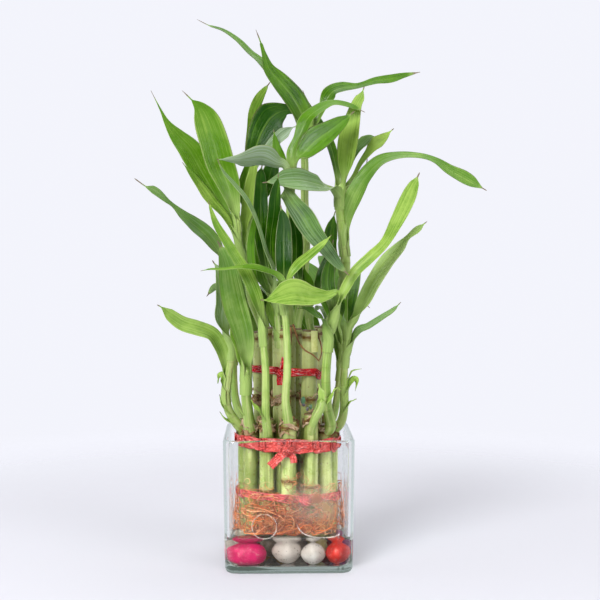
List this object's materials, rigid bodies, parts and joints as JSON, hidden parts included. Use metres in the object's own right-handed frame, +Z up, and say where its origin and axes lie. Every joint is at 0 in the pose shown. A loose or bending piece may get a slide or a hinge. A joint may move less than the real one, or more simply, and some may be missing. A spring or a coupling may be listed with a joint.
{
  "type": "lucky bamboo",
  "caption": "Two tiers of cut green canes with leafy shoots, tied with red ribbon, standing on coloured pebbles in a square clear glass vase.",
  "frame": {"origin": "centre of the vase's underside, on the surface it stands on", "axes": "+Z up along the canes, -Y towards the side that the picture shows, +X to its right"},
  "size_m": [0.219, 0.1476, 0.343],
  "materials": {
    "vase_glass": "clear soda-lime glass, glossy, faintly green at the base",
    "water": "shallow water, slightly brown between the pebbles",
    "cane": "smooth waxy green stem, satin",
    "leaf": "satin leaf with fine parallel veins, paler underneath",
    "ribbon": "crumpled translucent red foil ribbon, glossy",
    "root": "fine orange roots, matt",
    "pebble_white": "white stone with grey specks",
    "pebble_grey": "grey-white stone with specks",
    "pebble_pink": "dyed pink stone, scuffed",
    "pebble_red": "dyed red stone, scuffed",
    "pebble_yellow": "pale yellow stone",
    "pebble_gold": "dyed yellow stone, scuffed",
    "pebble_purple": "dyed purple stone, scuffed",
    "pebble_orange": "dyed orange stone, scuffed",
    "pebble_blue": "dyed blue stone, scuffed"
  },
  "bodies": {
    "root": {"cane_inner_1": "cane", "cane_inner_2": "cane", "cane_inner_3": "cane", "cane_inner_4": "cane", "cane_inner_5": "cane", "cane_inner_6": "cane", "cane_inner_7": "cane", "cane_outer_01": "cane", "cane_outer_02": "cane", "cane_outer_03": "cane", "cane_outer_04": "cane", "cane_outer_05": "cane", "cane_outer_06": "cane", "cane_outer_07": "cane", "cane_outer_08": "cane", "cane_outer_09": "cane", "cane_outer_10": "cane", "cane_outer_11": "cane", "cane_outer_12": "cane", "pebble_back": "pebble_gold", "pebble_back_left": "pebble_white", "pebble_back_right": "pebble_pink", "pebble_corner": "pebble_blue", "pebble_grey": "pebble_grey", "pebble_middle": "pebble_white", "pebble_orange": "pebble_orange", "pebble_orange_red": "pebble_red", "pebble_pink": "pebble_pink", "pebble_purple": "pebble_purple", "pebble_red": "pebble_red", "pebble_small": "pebble_white", "pebble_stone": "pebble_grey", "pebble_white_large": "pebble_white", "pebble_white_round": "pebble_white", "pebble_yellow": "pebble_yellow", "ribbon_lower": "ribbon", "ribbon_middle": "ribbon", "ribbon_upper": "ribbon", "roots": "root", "shoot_inner_1": "leaf", "shoot_inner_2": "leaf", "shoot_inner_3": "leaf", "shoot_inner_4": "leaf", "shoot_inner_5": "leaf", "shoot_inner_6": "leaf", "shoot_inner_7": "leaf", "shoot_outer_01": "leaf", "shoot_outer_02": "leaf", "shoot_outer_03": "leaf", "shoot_outer_04": "leaf", "shoot_outer_05": "leaf", "shoot_outer_06": "leaf", "shoot_outer_07": "leaf", "shoot_outer_08": "leaf", "shoot_outer_09": "leaf", "shoot_outer_10": "leaf", "shoot_outer_11": "leaf", "shoot_outer_12": "leaf", "vase": "vase_glass", "water": "water"}
  },
  "joints": []
}
